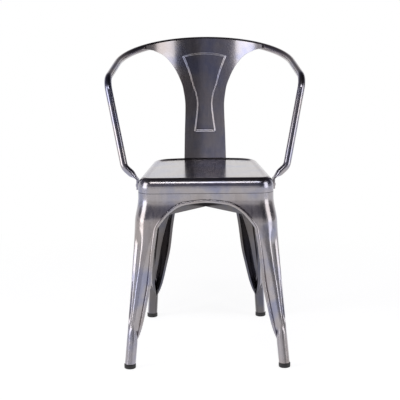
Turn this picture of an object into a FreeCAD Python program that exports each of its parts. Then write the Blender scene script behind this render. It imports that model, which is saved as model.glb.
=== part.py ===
import FreeCAD, Part
import math
import os

# Metal bistro armchair of pressed sheet, in millimetres.
# X is to the right as seen from the front, which is the sitter's left. Y is to the back, Z is up.
# The origin lies on the floor, under the middle of the chair. Left and right are as seen from the front.

Vec = FreeCAD.Vector

# Driving dimensions

sheet = 1.5                     # wall of the seat and of the leg pressings
seat_height = 450.0             # floor to the top of the seat's rim
seat_front_half = 165.5         # half of the seat's width at the front
seat_rear_half = 137.0          # half of its width at the rear corners
seat_front_y = -188.4           # front face of the skirt
seat_side_length = 338.7        # along Y, between the front and rear corners
seat_back_y = 176.9             # rear face of the skirt, at the middle
seat_edge_radius = 14.0         # roll from the seat down into the skirt
skirt_depth = 36.0              # seat rim to the skirt's lower edge
front_corner_radius = 36.0
rear_corner_radius = 62.0
rear_bow_angle = 15.0           # slope of the rear edge where its arc meets a corner
seat_border = 17.0              # raised border round the seat's field
field_depth = 3.0               # how far the field lies below the border
field_wall = 5.0                # width of the slope between them
drain_diameter = 5.0
drain_pitch = 39.5              # between the three columns of drain holes
drain_row_gap = 64.0            # between the two rows
drain_middle_offset = 28.0      # the middle column lies this much further back
drain_front_y = -67.0           # front row, outer columns

flange_height = 18.0            # leg flange that stands inside the skirt
ledge_height = 2.5              # step on which the skirt's edge rests
kick_out = 8.5                  # the legs step outwards below the apron
kick_drop = 14.0                # the kick starts this far below the skirt
kick_length = 60.0              # height over which it goes on
lean_rate = 0.05                # lean of the legs under the kick, mm per mm
lean_growth = 0.00007           # how the lean grows on the way down
front_lean_ratio = 1.754        # lean to the front for each mm of lean to the side
rear_lean_ratio = 1.8           # lean to the back for each mm at the front legs
rear_side_ratio = 0.727         # lean to the side of the rear legs
apron_height = 22.6             # skirt's edge to the top of the arches between the legs
arch_height = 61.4              # top of an arch down to where it becomes a leg
rear_web_ratio = 1.18           # the rear legs' webs are wider by this
straight_bow_share = 0.06       # what is left of the rear bow at the legs

foot_tube_diameter = 26.0
foot_tube_top = 62.0
plug_height = 11.5              # visible height of the rubber plug
plug_diameter = 28.0
plug_stem_length = 24.0
plug_clearance = 0.3            # between the stem and the flats of the tube's bore
plug_edge_bevel = 2.5           # chamfer round the foot's lower edge

brace_drop = 67.0               # skirt's edge down to the bars' lower edge
brace_height = 18.0
brace_thickness = 3.0
brace_overrun = 12.0            # stock cut off where a bar meets a leg

arm_diameter = 18.0
arm_wall = 1.5
rail_height = 755.2             # centre of the rail at the middle of the back
rail_y = 237.6
rail_radius = 222.0             # bend of the rail in its own sloping plane
rail_slope = 14.4               # the arms rise to the back by this angle
arm_splay = 8.0                 # the arms spread forwards by this angle
arm_front_y = -72.0             # corner between an arm and its riser
arm_bend_radius = 46.0
riser_foot_half = 195.5         # lower corner of the riser
riser_foot_y = -129.0
riser_foot_rise = 20.0          # height of that corner over the seat
riser_bend_radius = 26.0
tab_y = -135.0                  # flattened end on the side of the skirt
tab_top_drop = 9.0              # below the seat
tab_bottom_drop = 33.0
tab_width = 25.0
tab_thickness = 4.6
tab_slot = 1.0                  # gap left inside the flattened tube
tab_blend_length = 22.0         # from the flat to the full round
flat_squareness = 1.4           # how square the flattened section is
tube_sides = 16
rivet_diameter = 5.0
rivet_head_diameter = 9.0
rivet_head_height = 2.2
rivet_drop = 23.0               # below the seat
rivet_pitch = 11.0

splat_sheet = 2.0
splat_radius = 213.0            # curve of the back splat round the sitter
splat_lean = 9.0                # lean of the splat to the back
splat_top_margin = 4.2          # rail that shows above the splat
splat_tab_top_drop = 1.0        # tab on the skirt's rear face, below the seat
splat_tab_height = 25.0
splat_seat = 0.8                # the rail sinks this far into a seat formed in the sheet
splat_wing_tip = 9.0            # height of the wings' blunt tips
splat_wing_half = 150.0
panel_depth = 2.2               # the embossed panel is pressed back by this

# Values worked out from these

tool_reach = seat_height + rail_height  # longer than anything on the chair, for cutting tools
skirt_bottom = seat_height - skirt_depth
flange_top = skirt_bottom + flange_height
ledge_bottom = skirt_bottom - ledge_height
kick_top = skirt_bottom - kick_drop
kick_bottom = kick_top - kick_length
arch_top = skirt_bottom - apron_height
leg_top = arch_top - arch_height
brace_bottom = skirt_bottom - brace_drop
tab_top = seat_height - tab_top_drop
tab_bottom = seat_height - tab_bottom_drop
splat_tab_top = seat_height - splat_tab_top_drop
splat_tab_bottom = splat_tab_top - splat_tab_height
side_slope = math.atan2(seat_front_half - seat_rear_half, seat_side_length)

# Outline of the seat and of the legs' skin

def lean(z):
    """Outward shift of a front leg's corner at height z."""
    part_way = min(max((kick_top - z) / (kick_top - kick_bottom), 0.0), 1.0)
    kick = kick_out * part_way * part_way * (3.0 - 2.0 * part_way)
    below = max(kick_bottom - z, 0.0)
    return kick + lean_rate * below + lean_growth * below * below


def leg_corner(rear, z):
    """Corner point of the skin on the +X side, with the way along its two webs."""
    side_way = Vec(-math.sin(side_slope), math.cos(side_slope), 0)
    if rear:
        bow = math.radians(rear_bow_angle) * rear_bow_share(z)
        way = Vec(-math.cos(bow), math.sin(bow), 0)
        half = seat_rear_half + rear_side_ratio * lean(z)
        reach = corner_radius(True, z) / math.tan(way.getAngle(side_way * -1) / 2.0)
        drop = reach * math.sin(bow) + (half - reach * math.cos(bow)) * math.tan(bow / 2.0)
        return Vec(half, seat_back_y - drop + rear_lean_ratio * lean(z), z), way, side_way * -1
    corner = Vec(seat_front_half + lean(z), seat_front_y - front_lean_ratio * lean(z), z)
    return corner, Vec(-1, 0, 0), side_way


def rear_bow_share(z):
    """The rear edge is bowed at the seat and nearly straight at the legs."""
    share = min(max((z - leg_top) / (kick_top - leg_top), 0.0), 1.0)
    return straight_bow_share + (1.0 - straight_bow_share) * share


def corner_radius(rear, z):
    seat_radius = rear_corner_radius if rear else front_corner_radius
    leg_radius = leg_sections[0]["corner"] * web_scale(rear, leg_top)
    share = min(max((z - leg_top) / (kick_top - leg_top), 0.0), 1.0)
    return leg_radius + (seat_radius - leg_radius) * share


def fillet_points(corner, way_a, way_b, radius, inset):
    """Ends and middle of the arc that rounds a corner, moved inwards by inset."""
    angle = way_a.getAngle(way_b)
    corner = corner + (way_a + way_b) * (inset / math.sin(angle))
    radius = radius - inset
    reach = radius / math.tan(angle / 2.0)
    towards = (way_a + way_b).normalize()
    middle = corner + towards * (radius / math.sin(angle / 2.0) - radius)
    return corner + way_a * reach, middle, corner + way_b * reach


def mirrored(point):
    return Vec(-point.x, point.y, point.z)


def mirror_x(shape):
    return shape.mirror(Vec(0, 0, 0), Vec(1, 0, 0))


def plan_wire(z, inset, height=None):
    """Closed outline of the skin at height z, moved inwards by inset."""
    fa, fm, fb = fillet_points(*leg_corner(False, z), corner_radius(False, z), inset)
    ra, rm, rb = fillet_points(*leg_corner(True, z), corner_radius(True, z), inset)
    bow = math.radians(rear_bow_angle) * rear_bow_share(z)
    back = Vec(0, ra.y + ra.x * math.tan(bow / 2.0), z)
    edges = [Part.makeLine(mirrored(fa), fa),
             Part.Arc(fa, fm, fb).toShape(),
             Part.makeLine(fb, rb),
             Part.Arc(rb, rm, ra).toShape(),
             Part.Arc(ra, back, mirrored(ra)).toShape(),
             Part.Arc(mirrored(ra), mirrored(rm), mirrored(rb)).toShape(),
             Part.makeLine(mirrored(rb), mirrored(fb)),
             Part.Arc(mirrored(fb), mirrored(fm), mirrored(fa)).toShape()]
    wire = Part.Wire(edges)
    if height is not None:
        wire.translate(Vec(0, 0, height - z))
    return wire


def plan_prism(z, inset, bottom, top):
    face = Part.Face(plan_wire(z, inset, bottom))
    return face.extrude(Vec(0, 0, top - bottom))


def skin_solid(heights, inset):
    return Part.makeLoft([plan_wire(z, inset) for z in heights], True, True)


def side_skin_x(y, z):
    front = leg_corner(False, z)[0]
    rear = leg_corner(True, z)[0]
    return front.x + (y - front.y) / (rear.y - front.y) * (rear.x - front.x)


def rear_skin_y(x, z):
    ra = fillet_points(*leg_corner(True, z), corner_radius(True, z), 0.0)[0]
    bow = math.radians(rear_bow_angle) * rear_bow_share(z)
    if abs(x) > ra.x:
        return ra.y - (abs(x) - ra.x) * math.tan(bow)
    radius = ra.x / math.sin(bow)
    return ra.y + math.sqrt(radius ** 2 - x ** 2) - radius * math.cos(bow)

# Sections of a front leg, measured from its corner along either web, and where they lie between
# the top of the foot tube (0) and the leg's top (1).
# corner: radius, ridge: end of the flat, crease and depth: end of the facet,
# roll, roll_depth and roll_radius: the rolled edge's centre and size

leg_sections = [
    dict(share=1.00, corner=36.0, ridge=47.0, crease=53.0, depth=0.0, groove=9.0, groove_depth=0.0,
         roll=53.7, roll_depth=3.5, roll_radius=4.7),
    dict(share=0.90, corner=35.0, ridge=42.0, crease=49.0, depth=2.0, groove=11.0, groove_depth=4.0,
         roll=50.6, roll_depth=4.2, roll_radius=4.7),
    dict(share=0.735, corner=29.5, ridge=33.5, crease=44.5, depth=5.5, groove=11.5, groove_depth=4.5,
         roll=47.0, roll_depth=6.5, roll_radius=4.6),
    dict(share=0.515, corner=22.0, ridge=26.0, crease=40.5, depth=9.5, groove=9.0, groove_depth=4.4,
         roll=44.3, roll_depth=10.0, roll_radius=4.5),
    dict(share=0.328, corner=17.5, ridge=21.5, crease=35.0, depth=11.0, groove=7.0, groove_depth=4.0,
         roll=38.2, roll_depth=12.0, roll_radius=4.3),
    dict(share=0.16, corner=13.3, ridge=17.3, crease=29.0, depth=11.5, groove=5.5, groove_depth=3.2,
         roll=32.0, roll_depth=13.0, roll_radius=4.0),
    dict(share=0.082, corner=12.0, ridge=16.0, crease=26.0, depth=12.5, groove=4.5, groove_depth=0.0,
         roll=27.9, roll_depth=16.0, roll_radius=3.4)]
roll_end = dict(share=-0.008, roll=21.7, roll_depth=21.7, roll_radius=1.2)
groove_floor = 0.45             # width of the groove's floor as a share of the groove
corner_steps = 3                # straight strips on each side of the groove
tube_gap = 5.0                  # degrees left open at the seam of the foot tube


def section_height(section):
    return foot_tube_top + section["share"] * (leg_top - foot_tube_top)


def web_scale(rear, z):
    """How much wider a leg's section is than that of a front leg."""
    if not rear:
        return 1.0
    share = min(max((z - foot_tube_top) / (leg_top - foot_tube_top), 0.0), 1.0)
    return 1.0 + (rear_web_ratio - 1.0) * math.sqrt(share)


def on_web(corner, along, inwards, distance, depth):
    return corner + along * distance + inwards * depth


def tube_centre(corner, way_a, way_b):
    return corner + (way_a + way_b) * (foot_tube_diameter / 2.0)


def turned(centre, out, across, radius, angle):
    return centre + out * (radius * math.cos(angle)) + across * (radius * math.sin(angle))


def corner_points(section, size, radius, half_angle, inset):
    """Radius and angle of each fold of the grooved corner, from one side to the other."""
    side = math.asin(section["groove"] * size / radius)
    skin = radius - inset
    turns = [half_angle + (side - half_angle) * step / corner_steps for step in range(corner_steps + 1)]
    floor = [(skin - section["groove_depth"], side * groove_floor * way) for way in (-1, 0, 1)]
    return [(skin, -turn) for turn in turns] + floor + [(skin, turn) for turn in turns[::-1]]


def leg_path(rear, section, inset):
    """Open path of the pressed section, from one facet round the corner to the other."""
    z = section_height(section)
    corner, way_a, way_b = leg_corner(rear, z)
    size = web_scale(rear, z)
    radius = section["corner"] * size
    end_b, middle, end_a = fillet_points(corner, way_b, way_a, radius, 0.0)
    out = (way_a + way_b).normalize() * -1
    across = (end_a - end_b).normalize()
    centre = middle - out * radius
    half_angle = out.getAngle(end_a - centre)
    bends = [turned(centre, out, across, skin, angle)
             for skin, angle in corner_points(section, size, radius, half_angle, inset)]
    ridge = section["ridge"] * size
    crease = section["crease"] * size
    depth = section["depth"] * size
    slope = math.atan2(depth, crease - ridge)
    facets = []
    for along, inwards in ((way_b, way_a), (way_a, way_b)):
        fold = on_web(corner, along, inwards, ridge - math.tan(slope / 2.0) * inset, inset)
        tip = on_web(corner, along, inwards, crease - inset * math.sin(slope),
                     depth + inset * math.cos(slope))
        facets.append([tip, (tip + fold) * 0.5, fold])
    return facets[0] + bends + facets[1][::-1]


def tube_path(rear, z, inset, count):
    """The same path where the leg has closed into its round foot tube."""
    corner, way_a, way_b = leg_corner(rear, z)
    radius = foot_tube_diameter / 2.0 - inset
    out = (way_a + way_b).normalize() * -1
    across = (way_a - way_b).normalize()
    centre = tube_centre(corner, way_a, way_b)
    return [turned(centre, out, across, radius, tube_seam_turn() * (2.0 * index / (count - 1) - 1.0))
            for index in range(count)]


def tube_seam_turn():
    """Angle from the middle of the foot tube to its seam."""
    return math.radians(180.0 - tube_gap / 2.0)


def channel_wire(outer, inner):
    """Closed section of the sheet between its outer and inner paths."""
    return Part.makePolygon(outer + inner[::-1] + [outer[0]])


def roll_section(centre, tangent, radius, reference):
    """Many-sided section of the rolled edge, square to its path."""
    side = reference.cross(tangent).normalize()
    other = tangent.cross(side).normalize()
    turn = 2.0 * math.pi / roll_sides
    points = [turned(centre, side, other, radius, turn * (step + 0.5)) for step in range(roll_sides)]
    return Part.makePolygon(points + [points[0]])


def outward(solid):
    """The same solid with its faces pointing outwards."""
    return solid.reversed() if solid.Volume < 0 else solid

# Arches

# Half of an arch's edge, as shares of its half width and of its height, and its slope at the leg
arch_shape = [(0.0, 0.0), (0.43, 0.085), (0.60, 0.207), (0.80, 0.498), (0.88, 0.673), (0.955, 0.863), (1.0, 1.0)]
arch_foot_slope = 0.18
arch_stations = 6
roll_sides = 8


def arch_edge(half_span):
    """Curve of half an arch's edge, from its top to the leg."""
    curve = Part.BSplineCurve()
    curve.interpolate(Points=[Vec(half_span * x, 0, arch_top - arch_height * drop) for x, drop in arch_shape],
                      InitialTangent=Vec(1, 0, 0), FinalTangent=Vec(arch_foot_slope, 0, -1))
    return curve


def arch_half_span(kind):
    """Half of an arch's width where the legs start, and its middle for a side arch."""
    front_edge = leg_sections[0]["roll"] + leg_sections[0]["roll_radius"]
    rear_edge = front_edge * web_scale(True, leg_top)
    front = leg_corner(False, leg_top)[0]
    rear = leg_corner(True, leg_top)[0]
    if kind == "front":
        return front.x - front_edge, 0.0
    if kind == "rear":
        return rear.x - rear_edge, 0.0
    low = front.y + front_edge
    high = rear.y - rear_edge
    return (high - low) / 2.0, (high + low) / 2.0


def arch_prism(kind):
    """Solid that cuts one arch through its wall."""
    half_span, middle = arch_half_span(kind)
    right = arch_edge(half_span).toShape()
    left = mirror_x(right)
    foot = Vec(half_span, 0, leg_top)
    below = leg_top - apron_height
    low = [foot, Vec(half_span, 0, below), Vec(-half_span, 0, below), mirrored(foot)]
    lines = [Part.makeLine(low[i], low[i + 1]) for i in range(3)]
    face = Part.Face(Part.Wire(Part.__sortEdges__([right, left] + lines)))
    if kind == "front":
        return face.extrude(Vec(0, -tool_reach, 0))
    if kind == "rear":
        return face.extrude(Vec(0, tool_reach, 0))
    face.rotate(Vec(0, 0, 0), Vec(0, 0, 1), 90)
    face.translate(Vec(0, middle, 0))
    return face.extrude(Vec(tool_reach, 0, 0))


def roll_stations(rear, side):
    """Centres and radii of the rolled edge, from the middle of the arch to the foot."""
    kind = "side" if side else ("rear" if rear else "front")
    half_span, middle = arch_half_span(kind)
    curve = arch_edge(half_span)
    radius = leg_sections[0]["roll_radius"]
    depth = leg_sections[0]["roll_depth"]
    length = curve.length()
    stations = []
    for index in range(arch_stations):
        at = curve.parameterAtDistance(length * index / arch_stations)
        tangent = Vec(*curve.tangent(at)[0])
        centre = curve.value(at) + Vec(-tangent.z, 0, tangent.x) * radius
        if side:
            way = -1.0 if not rear else 1.0
            y = middle + way * centre.x
            point = Vec(side_skin_x(y, centre.z) - depth, y, centre.z)
        elif rear:
            point = Vec(centre.x, rear_skin_y(centre.x, centre.z) - depth, centre.z)
        else:
            point = Vec(centre.x, leg_corner(False, centre.z)[0].y + depth, centre.z)
        stations.append((point, radius))
    for section in leg_sections + [roll_end]:
        z = section_height(section)
        corner, way_a, way_b = leg_corner(rear, z)
        size = web_scale(rear, z)
        if side:
            way_a, way_b = way_b, way_a
        point = on_web(corner, way_a, way_b, section["roll"] * size, section["roll_depth"] * size)
        stations.append((point, section["roll_radius"]))
    return stations


def roll_solid(rear, side):
    stations = roll_stations(rear, side)
    rings = []
    for index, (point, radius) in enumerate(stations):
        before = stations[max(index - 1, 0)][0]
        after = stations[min(index + 1, len(stations) - 1)][0]
        tangent = (after - before).normalize()
        if index == 0:
            tangent = Vec(0, 1 if rear else -1, 0) if side else Vec(1, 0, 0)
        rings.append(roll_section(point, tangent, radius, Vec(1, 0, 0) if side else Vec(0, 1, 0)))
    return outward(Part.makeLoft(rings, True, True))

# Legs

apron_steps = 4
apron_heights = [leg_top + (kick_top - leg_top) * step / apron_steps for step in range(apron_steps + 1)]
apron_heights.append(ledge_bottom + sheet)


def leg(rear):
    """Leg on the +X side: half arches, ledge and flange, channel, groove, rolls, foot tube."""
    apron = skin_solid(apron_heights, 0.0).cut(skin_solid(apron_heights, sheet))
    apron = apron.cut(arch_prism("rear" if rear else "front")).cut(arch_prism("side"))
    ledge = plan_prism(kick_top, 0.0, ledge_bottom, skirt_bottom)
    flange = plan_prism(kick_top, sheet, skirt_bottom - sheet, flange_top)
    core = plan_prism(kick_top, 2.0 * sheet, ledge_bottom - sheet, flange_top + sheet)
    apron = apron.fuse(ledge.fuse(flange).cut(core))
    middle = arch_half_span("side")[1]
    quarter = Part.makeBox(tool_reach, tool_reach, tool_reach,
                           Vec(0, middle if rear else middle - tool_reach, leg_top))
    apron = apron.common(quarter)
    wires = []
    for section in leg_sections:
        wires.append(channel_wire(leg_path(rear, section, 0.0), leg_path(rear, section, sheet)))
    count = len(leg_path(rear, leg_sections[0], 0.0))
    for z in (foot_tube_top, plug_height):
        wires.append(channel_wire(tube_path(rear, z, 0.0, count), tube_path(rear, z, sheet, count)))
    channel = Part.makeLoft(wires, True, True)
    rolls = roll_solid(rear, False).fuse(roll_solid(rear, True))
    return apron.fuse(channel).fuse(rolls)


def foot_axis(rear, z):
    """Point on the straight axis of a foot tube at height z."""
    low = tube_centre(*leg_corner(rear, plug_height))
    high = tube_centre(*leg_corner(rear, foot_tube_top))
    return low + (high - low) * ((z - plug_height) / (foot_tube_top - plug_height))


def bore_radius(rear):
    """Distance from the axis of a foot tube to the flats of its bore."""
    folds = len(leg_path(rear, leg_sections[0], 0.0)) - 1
    return (foot_tube_diameter / 2.0 - sheet) * math.cos(tube_seam_turn() / folds)


def foot_plug(rear):
    """Rubber plug: a foot with a blunt edge and a stem that fills the tube."""
    middle = foot_axis(rear, plug_height / 2.0)
    foot = Part.makeCylinder(plug_diameter / 2.0, plug_height, Vec(middle.x, middle.y, 0))
    floor_edges = [edge for edge in foot.Edges if edge.BoundBox.ZMax < plug_edge_bevel]
    foot = foot.makeChamfer(plug_edge_bevel, floor_edges)
    low = foot_axis(rear, plug_height)
    way = (foot_axis(rear, foot_tube_top) - low).normalize()
    stem = Part.makeCylinder(bore_radius(rear) - plug_clearance, plug_stem_length + plug_height / 2.0,
                             low - way * (plug_height / 2.0), way)
    return foot.fuse(stem)

# Seat

def seat_slab(inset, bottom, top, radius):
    """Block of the seat's outline with its upper edge rolled over."""
    slab = plan_prism(kick_top, inset, bottom, top)
    rim = [edge for edge in slab.Edges if edge.BoundBox.ZMin > top - 0.01]
    return slab.makeFillet(radius, rim)


def field_tool(inset, floor, top):
    """Shallow tray that lowers the seat's field, with a sloping wall."""
    low = plan_wire(kick_top, inset + field_wall, floor)
    high = plan_wire(kick_top, inset, top)
    return Part.makeLoft([low, high], True, True)


def seat_pan():
    outer = seat_slab(0.0, skirt_bottom, seat_height, seat_edge_radius)
    outer = outer.cut(field_tool(seat_border, seat_height - field_depth, seat_height))
    inner = seat_slab(sheet, skirt_bottom, seat_height - sheet, seat_edge_radius - sheet)
    inner = inner.cut(field_tool(seat_border - sheet, seat_height - field_depth - sheet, seat_height))
    pan = outer.cut(inner)
    for column in (-1, 0, 1):
        for row in (0, 1):
            y = drain_front_y + row * drain_row_gap + (drain_middle_offset if column == 0 else 0.0)
            hole = Part.makeCylinder(drain_diameter / 2.0, 4.0 * field_depth,
                                     Vec(column * drain_pitch, y, seat_height - 3.0 * field_depth))
            pan = pan.cut(hole)
    return pan

# Cross brace under the seat

def brace_blank(to_left):
    """Flat bar on edge, longer than needed, from a front corner to the far rear corner."""
    z = brace_bottom + brace_height / 2.0
    front = fillet_points(*leg_corner(False, z), corner_radius(False, z), sheet)[1]
    rear = mirrored(fillet_points(*leg_corner(True, z), corner_radius(True, z), sheet)[1])
    way = (rear - front).normalize()
    start = front - way * brace_overrun
    across = Vec(-way.y, way.x, 0) * (brace_thickness / 2.0)
    low = Vec(0, 0, brace_bottom - z)
    corners = [start + across + low, start - across + low]
    length = (rear - front).Length + 2.0 * brace_overrun
    corners += [corners[1] + way * length, corners[0] + way * length]
    bar = Part.Face(Part.makePolygon(corners + [corners[0]])).extrude(Vec(0, 0, brace_height))
    return mirror_x(bar) if to_left else bar


def brace_bars():
    """The two bars, cut to the legs' inner faces and half lapped where they cross."""
    inside = skin_solid(apron_heights, sheet)
    bars = [brace_blank(False), brace_blank(True)]
    lap = brace_bottom + brace_height / 2.0
    upper = Part.makeBox(tool_reach, tool_reach, tool_reach, Vec(-tool_reach / 2.0, -tool_reach / 2.0, lap))
    notched = [bars[0].cut(bars[1].common(upper)), bars[1].cut(bars[0].cut(upper))]
    return [bar.common(inside) for bar in notched]

# Arms and back rail

def rail_point(angle):
    """Point of the rail's centre line at an angle from its middle's side."""
    slope = math.radians(rail_slope)
    forward = Vec(0, -math.cos(slope), -math.sin(slope))
    turn = math.radians(angle)
    centre = Vec(0, rail_y, rail_height) + forward * rail_radius
    return centre + Vec(1, 0, 0) * (rail_radius * math.cos(turn)) - forward * (rail_radius * math.sin(turn))


def arm_points():
    """Start of the rail's bend, front corner of the arm, foot of the riser, top of the tab."""
    slope = math.radians(rail_slope)
    splay = math.radians(arm_splay)
    start = rail_point(arm_splay)
    forward = Vec(math.sin(splay), -math.cos(splay) * math.cos(slope), -math.cos(splay) * math.sin(slope))
    corner = start + forward * ((start.y - arm_front_y) / -forward.y)
    foot = Vec(riser_foot_half, riser_foot_y, seat_height + riser_foot_rise)
    tab = Vec(side_skin_x(tab_y, kick_top), tab_y, tab_top) + tab_normal() * (tab_thickness / 2.0)
    return start, corner, foot, tab


def tab_normal():
    return Vec(math.cos(side_slope), math.sin(side_slope), 0)


def tube_ring(centre, side, up, radius):
    """Many-sided section of the tube, with a corner on the side axis."""
    turn = 2.0 * math.pi / tube_sides
    return [turned(centre, side, up, radius, turn * step) for step in range(tube_sides)]


def tube_face(insets):
    """Section of the tube at the middle of the rail, or of the bar with its skin."""
    middle = rail_point(90.0)
    forward = (rail_point(0.0) + rail_point(180.0)) * 0.5 - middle
    up = Vec(1, 0, 0).cross(forward).normalize()
    rings = [tube_ring(middle, forward.normalize(), up, arm_diameter / 2.0 - inset) for inset in insets]
    return Part.makeFace([Part.makePolygon(ring + [ring[0]]) for ring in rings], "Part::FaceMakerBullseye")


def swept_half(insets):
    """Bar or tube grown piece by piece from the rail's middle to the +X riser, and its last face."""
    start, corner, foot, tab = arm_points()
    middle = (rail_point(0.0) + rail_point(180.0)) * 0.5
    rail_axis = (rail_point(90.0) - middle).cross(Vec(1, 0, 0))
    face = tube_face(insets)
    pieces = [face.revolve(middle, rail_axis, 90.0 - arm_splay)]
    face.rotate(middle, rail_axis, 90.0 - arm_splay)
    place = start
    way = (corner - start).normalize()
    for bend, radius, after in ((corner, arm_bend_radius, foot), (foot, riser_bend_radius, tab)):
        next_way = (after - bend).normalize()
        turn = way.getAngle(next_way)
        straight = bend - way * (radius * math.tan(turn / 2.0)) - place
        pieces.append(face.extrude(straight))
        face.translate(straight)
        place = place + straight
        inwards = (next_way - way * way.dot(next_way)).normalize()
        centre = place + inwards * radius
        pieces.append(face.revolve(centre, way.cross(inwards), math.degrees(turn)))
        face.rotate(centre, way.cross(inwards), math.degrees(turn))
        place = bend + next_way * (radius * math.tan(turn / 2.0))
        way = next_way
    straight = tab - way * tab_blend_length - place
    pieces.append(face.extrude(straight))
    face.translate(straight)
    return pieces, face, way


def flat_point(point, centre, along, across, width, thickness):
    """Where a corner of the round section lies once the tube is flattened."""
    spread = (point - centre).normalize()
    c = min(max(spread.dot(along) * flat_squareness, -1.0), 1.0)
    t = min(max(spread.dot(across) * flat_squareness, -1.0), 1.0)
    return along * (c * width / 2.0) + across * (t * thickness / 2.0)


def tab_solid(face, way, wire_index, inset):
    """Blend from the round tube to its flat, and the flat itself, as skin or as bore."""
    tab = arm_points()[3]
    along = Vec(0, 0, 1).cross(tab_normal())
    across = along.cross(way) * -1
    centre = tab - way * tab_blend_length
    ring = [vertex.Point for vertex in face.Wires[wire_index].OrderedVertexes]
    width = tab_width - 2.0 * inset
    thickness = tab_slot if inset > 0.0 else tab_thickness
    shifts = []
    for point in ring:
        spread = point - centre
        c = spread.dot(along)
        t = spread.dot(across)
        shifts.append(flat_point(centre + along * c + tab_normal() * t, centre, along, tab_normal(),
                                 width, thickness))
    bottom = Vec(tab.x, tab.y, tab_bottom - inset)
    levels = [ring] + [[base + shift for shift in shifts] for base in (tab, bottom)]
    return Part.makeLoft([Part.makePolygon(level + [level[0]]) for level in levels], True, True)


def arm_half(insets):
    """Half of the tube or of its solid bar, on the +X side."""
    pieces, face, way = swept_half(insets)
    end = outward(tab_solid(face, way, 0, insets[0]))
    if len(insets) > 1:
        end = end.cut(outward(tab_solid(face, way, 1, insets[1])))
    return pieces[0].fuse(pieces[1:] + [end])


def arm_bar():
    """Solid of the whole tube's skin, without its bore."""
    half = arm_half([0.0])
    return half.fuse(mirror_x(half))


def arm_tube():
    """Bent tube with its wall, and both flattened ends with the slot left in them."""
    half = arm_half([0.0, arm_wall])
    for hole in rivet_bar(1.0):
        half = half.cut(hole)
    return half.fuse(mirror_x(half))


def rivet_places():
    """Outer faces of the tabs, where each rivet goes through, on the +X side."""
    along = Vec(0, 0, 1).cross(tab_normal())
    tab = arm_points()[3]
    middle = Vec(tab.x, tab.y, seat_height - rivet_drop) + tab_normal() * (tab_thickness / 2.0)
    return [middle + along * (rivet_pitch / 2.0 * way) for way in (-1, 1)]


def rivet_bar(extra):
    """Shanks of the rivets on both sides, or their holes."""
    length = tab_thickness + 2.0 * sheet
    bars = [Part.makeCylinder(rivet_diameter / 2.0, length + 2.0 * extra, place + tab_normal() * extra,
                              tab_normal() * -1) for place in rivet_places()]
    return bars + [mirror_x(bar) for bar in bars]


def rivets():
    """Shanks with a coned head outside and a flat one inside."""
    shapes = []
    length = tab_thickness + 2.0 * sheet
    out = tab_normal()
    for place in rivet_places():
        shank = Part.makeCylinder(rivet_diameter / 2.0, length, place, out * -1)
        head = Part.makeCone(rivet_head_diameter / 2.0, rivet_diameter / 2.0, rivet_head_height, place, out)
        tail = Part.makeCylinder(rivet_head_diameter / 2.0, rivet_head_height / 2.0, place - out * length, out * -1)
        shapes.append(shank.fuse([head, tail]))
    return Part.makeCompound(shapes + [mirror_x(shape) for shape in shapes])

# Back splat

# Half widths of the splat from its foot to the start of its wings, and of its embossed panel,
# each with its height as a share of the way from the seat to the rail
splat_half = [(55.0, -0.033), (51.2, 0.442), (56.5, 0.590), (67.0, 0.691), (83.5, 0.793), (106.0, 0.878),
              (132.0, 0.924)]
panel_half = [(26.6, 0.226), (18.7, 0.452), (31.0, 0.626), (55.5, 0.862)]
panel_top = 0.888
splat_foot_slope = 0.02


def splat_point(half, share):
    return Vec(half, 0, seat_height + share * (rail_height - seat_height))


def splat_cylinder(radius):
    """Leaning cylinder that the splat's sheet follows."""
    lean_angle = math.radians(splat_lean)
    way = Vec(0, math.sin(lean_angle), math.cos(lean_angle))
    out = Vec(0, math.cos(lean_angle), -math.sin(lean_angle))
    front = Vec(0, rail_y - arm_diameter / 2.0 - splat_sheet + splat_seat, rail_height)
    foot = front - out * splat_radius - way * (tool_reach / 2.0)
    return Part.makeCylinder(radius, tool_reach, foot, way)


def splat_outline():
    """Front view of the splat, from its tab to the wings that follow the rail."""
    side = Part.BSplineCurve()
    points = [splat_point(*place) for place in splat_half]
    side.interpolate(Points=points[1:], InitialTangent=Vec(splat_foot_slope, 0, 1))
    low, neck, wing = points[0], points[1], points[-1]
    top = rail_height + arm_diameter / 2.0 - splat_top_margin
    turn = math.degrees(math.acos(splat_wing_half / rail_radius))
    tip = Vec(splat_wing_half, 0, rail_point(turn).z + top - rail_height)
    under = Vec(splat_wing_half, 0, tip.z - splat_wing_tip)
    half = [Part.makeLine(low, neck), side.toShape(), Part.makeLine(wing, under), Part.makeLine(under, tip)]
    other = [mirror_x(edge) for edge in half]
    ends = [Part.makeLine(mirrored(low), low), Part.Arc(tip, Vec(0, 0, top), mirrored(tip)).toShape()]
    return Part.Wire(Part.__sortEdges__(half + other + ends))


def panel_outline(outset):
    """Keystone outline of the embossed panel."""
    foot, neck, middle, shoulder = [splat_point(*place) for place in panel_half]
    half = [Part.makeLine(foot, neck), Part.Arc(neck, middle, shoulder).toShape()]
    other = [mirror_x(edge) for edge in half]
    ends = [Part.makeLine(mirrored(foot), foot),
            Part.Arc(shoulder, splat_point(0.0, panel_top), mirrored(shoulder)).toShape()]
    wire = Part.Wire(Part.__sortEdges__(half + other + ends))
    return wire.makeOffset2D(outset) if outset > 0.0 else wire


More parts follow.
